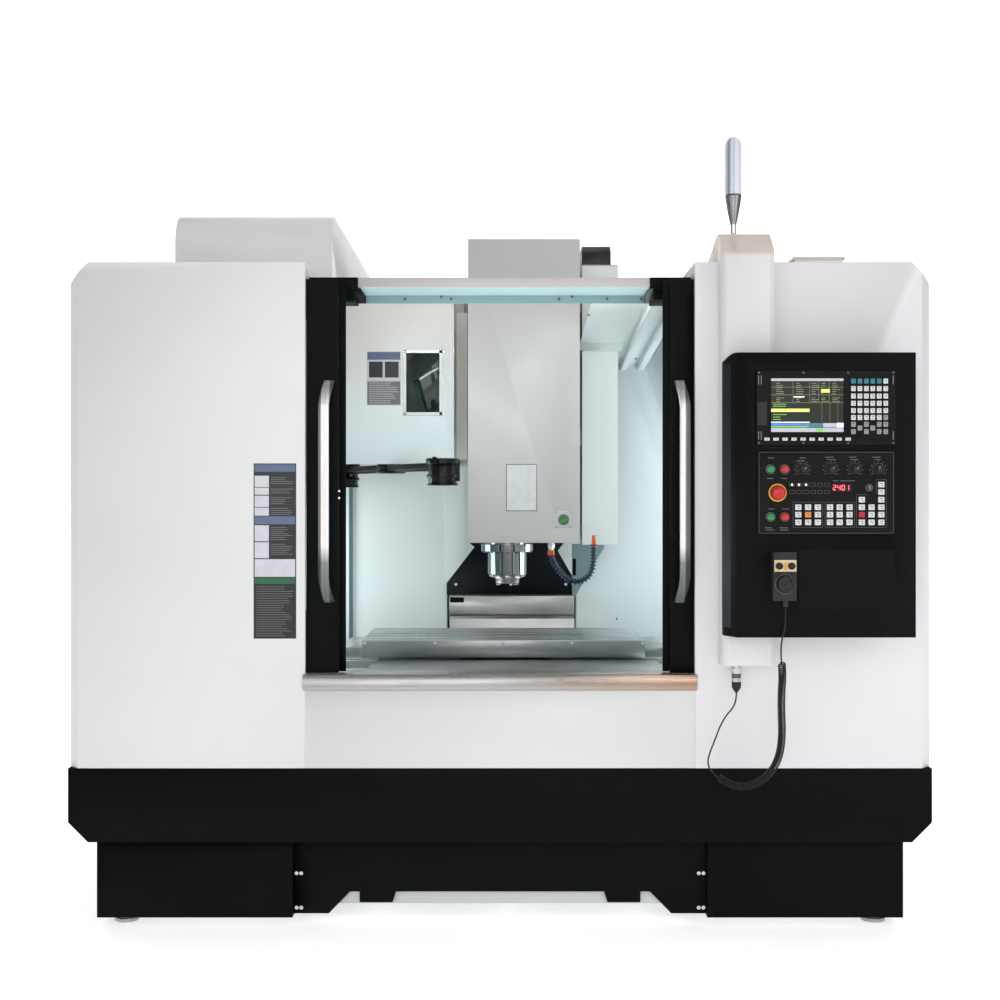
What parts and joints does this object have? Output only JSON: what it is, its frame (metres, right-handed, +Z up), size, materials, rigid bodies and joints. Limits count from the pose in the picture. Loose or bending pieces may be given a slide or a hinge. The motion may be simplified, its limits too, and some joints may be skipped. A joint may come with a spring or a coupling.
{
  "type": "cnc machining center",
  "caption": "Enclosed vertical machining centre with sliding doors open on its T-slot table, spindle head and tool changer, a side tool magazine and a control box on a duct.",
  "frame": {"origin": "on the floor, under the middle of the whole machine", "axes": "+Z up, +X to the right seen from the operator's side, -Y towards the operator"},
  "size_m": [2.6, 2.61, 2.392],
  "materials": {
    "white_paint": "fine textured semi-gloss",
    "panel_white": "satin",
    "black_paint": "fine textured satin",
    "stainless_sheet": "brushed",
    "painted_casting": "painted casting",
    "machined_iron": "ground",
    "bright_steel": "ground and polished",
    "hardened_steel": "dark ground",
    "window_pane": "clear laminated",
    "panel_plastic": "fine matt",
    "hose_plastic": "moulded",
    "green_plastic": "gloss",
    "red_plastic": "gloss",
    "knob_plastic": "matt",
    "lens_plastic": "translucent gloss",
    "cord_rubber": "satin",
    "motor_paint": "satin"
  },
  "bodies": {
    "machine": {"machine_bed": "painted_casting", "levelling_feet": "hardened_steel", "plinth": "black_paint", "base_skirt": "black_paint", "left_housing": "white_paint", "right_housing": "white_paint", "front_apron": "white_paint", "door_sill": "stainless_sheet", "header_beam": "white_paint", "rail_brackets": "black_paint", "splash_guard": "panel_white", "column_apron": "black_paint", "fixed_way_covers": "stainless_sheet", "column": "painted_casting", "magazine_cover": "white_paint", "magazine_guard": "panel_white", "magazine_window": "window_pane", "changer_drive_box": "painted_casting", "electrical_cabinet": "white_paint", "pendant_duct": "white_paint", "control_box": "black_paint", "display_unit": "panel_plastic", "switch_panel": "panel_plastic", "handwheel_unit": "panel_plastic", "cord_upper": "cord_rubber", "cord_coil": "cord_rubber", "cord_lower": "cord_rubber", "cord_plug": "bright_steel", "signal_lamp": "lens_plastic"},
    "saddle_unit": {"saddle": "painted_casting", "saddle_way_covers": "stainless_sheet"},
    "table_unit": {"work_table": "machined_iron", "table_way_covers": "stainless_sheet"},
    "head_unit": {"spindle_head": "painted_casting", "head_cover": "panel_white", "spindle_cartridge": "bright_steel", "spindle_motor": "motor_paint", "coolant_hose": "hose_plastic"},
    "spindle_unit": {"spindle": "hardened_steel"},
    "left_leaf": {"left_door": "black_paint", "left_door_window": "window_pane", "left_door_handle": "stainless_sheet"},
    "right_leaf": {"right_door": "black_paint", "right_door_window": "window_pane", "right_door_handle": "stainless_sheet"},
    "cabinet_leaf": {"cabinet_door": "white_paint"},
    "tool_wheel": {"magazine_disc": "motor_paint"},
    "changer_ram": {"changer_quill": "bright_steel"},
    "changer_beam": {"changer_arm": "hardened_steel"},
    "tool_release_button_body": {"tool_release_button": "green_plastic"},
    "power_on_button_body": {"power_on_button": "green_plastic"},
    "power_off_button_body": {"power_off_button": "red_plastic"},
    "cycle_start_button_body": {"cycle_start_button": "green_plastic"},
    "feed_hold_button_body": {"feed_hold_button": "red_plastic"},
    "e_stop_button_body": {"e_stop_button": "red_plastic"},
    "mode_knob_body": {"mode_knob": "knob_plastic"},
    "feed_knob_body": {"feed_knob": "knob_plastic"},
    "rapid_knob_body": {"rapid_knob": "knob_plastic"},
    "speed_knob_body": {"speed_knob": "knob_plastic"},
    "handwheel_dial_body": {"handwheel_dial": "knob_plastic"}
  },
  "joints": [
    {"name": "y_axis", "type": "slide", "parent": "machine", "child": "saddle_unit", "axis": [0, 1, 0], "range_m": [-0.25, 0.25]},
    {"name": "x_axis", "type": "slide", "parent": "saddle_unit", "child": "table_unit", "axis": [1, 0, 0], "range_m": [-0.386, 0.414]},
    {"name": "z_axis", "type": "slide", "parent": "machine", "child": "head_unit", "axis": [0, 0, 1], "range_m": [-0.067, 0.483]},
    {"name": "spindle_spin", "type": "hinge", "parent": "head_unit", "child": "spindle_unit", "pos_m": [0.027, 0.006, 1], "axis": [0, 0, 1], "continuous": true},
    {"name": "left_door_slide", "type": "slide", "parent": "machine", "child": "left_leaf", "axis": [1, 0, 0], "range_m": [0, 0.482]},
    {"name": "right_door_slide", "type": "slide", "parent": "machine", "child": "right_leaf", "axis": [-1, 0, 0], "range_m": [0, 0.482]},
    {"name": "cabinet_door_hinge", "type": "hinge", "parent": "machine", "child": "cabinet_leaf", "pos_m": [0.635, 1.287, 1.3], "axis": [0, 0, -1], "range_deg": [0, 110]},
    {"name": "magazine_spin", "type": "hinge", "parent": "machine", "child": "tool_wheel", "pos_m": [-0.762, 0.006, 1.83], "axis": [1, 0, 0], "continuous": true},
    {"name": "changer_drop", "type": "slide", "parent": "machine", "child": "changer_ram", "axis": [0, 0, 1], "range_m": [-0.115, 0]},
    {"name": "changer_swing", "type": "hinge", "parent": "changer_ram", "child": "changer_beam", "pos_m": [-0.404, 0.006, 1.42], "axis": [0, 0, 1], "range_deg": [-40, 20]},
    {"name": "tool_release_press", "type": "slide", "parent": "head_unit", "child": "tool_release_button_body", "axis": [0, 1, 0], "range_m": [0, 0.004], "stiffness_N_per_m": 600, "springref_m": -0.002},
    {"name": "power_on_press", "type": "slide", "parent": "machine", "child": "power_on_button_body", "axis": [0, 1, 0], "range_m": [0, 0.004], "stiffness_N_per_m": 600, "springref_m": -0.002},
    {"name": "power_off_press", "type": "slide", "parent": "machine", "child": "power_off_button_body", "axis": [0, 1, 0], "range_m": [0, 0.004], "stiffness_N_per_m": 600, "springref_m": -0.002},
    {"name": "cycle_start_press", "type": "slide", "parent": "machine", "child": "cycle_start_button_body", "axis": [0, 1, 0], "range_m": [0, 0.004], "stiffness_N_per_m": 600, "springref_m": -0.002},
    {"name": "feed_hold_press", "type": "slide", "parent": "machine", "child": "feed_hold_button_body", "axis": [0, 1, 0], "range_m": [0, 0.004], "stiffness_N_per_m": 600, "springref_m": -0.002},
    {"name": "e_stop_press", "type": "slide", "parent": "machine", "child": "e_stop_button_body", "axis": [0, 1, 0], "range_m": [0, 0.006], "stiffness_N_per_m": 900, "springref_m": -0.002},
    {"name": "mode_turn", "type": "hinge", "parent": "machine", "child": "mode_knob_body", "pos_m": [0.87, -1.225, 1.383], "axis": [0, 1, 0], "range_deg": [-135, 135]},
    {"name": "feed_turn", "type": "hinge", "parent": "machine", "child": "feed_knob_body", "pos_m": [0.951, -1.225, 1.383], "axis": [0, 1, 0], "range_deg": [-135, 135]},
    {"name": "rapid_turn", "type": "hinge", "parent": "machine", "child": "rapid_knob_body", "pos_m": [1.02, -1.225, 1.383], "axis": [0, 1, 0], "range_deg": [-135, 135]},
    {"name": "speed_turn", "type": "hinge", "parent": "machine", "child": "speed_knob_body", "pos_m": [1.088, -1.225, 1.383], "axis": [0, 1, 0], "range_deg": [-135, 135]},
    {"name": "handwheel_turn", "type": "hinge", "parent": "machine", "child": "handwheel_dial_body", "pos_m": [0.812, -1.265, 1.0555], "axis": [0, 1, 0], "continuous": true}
  ]
}
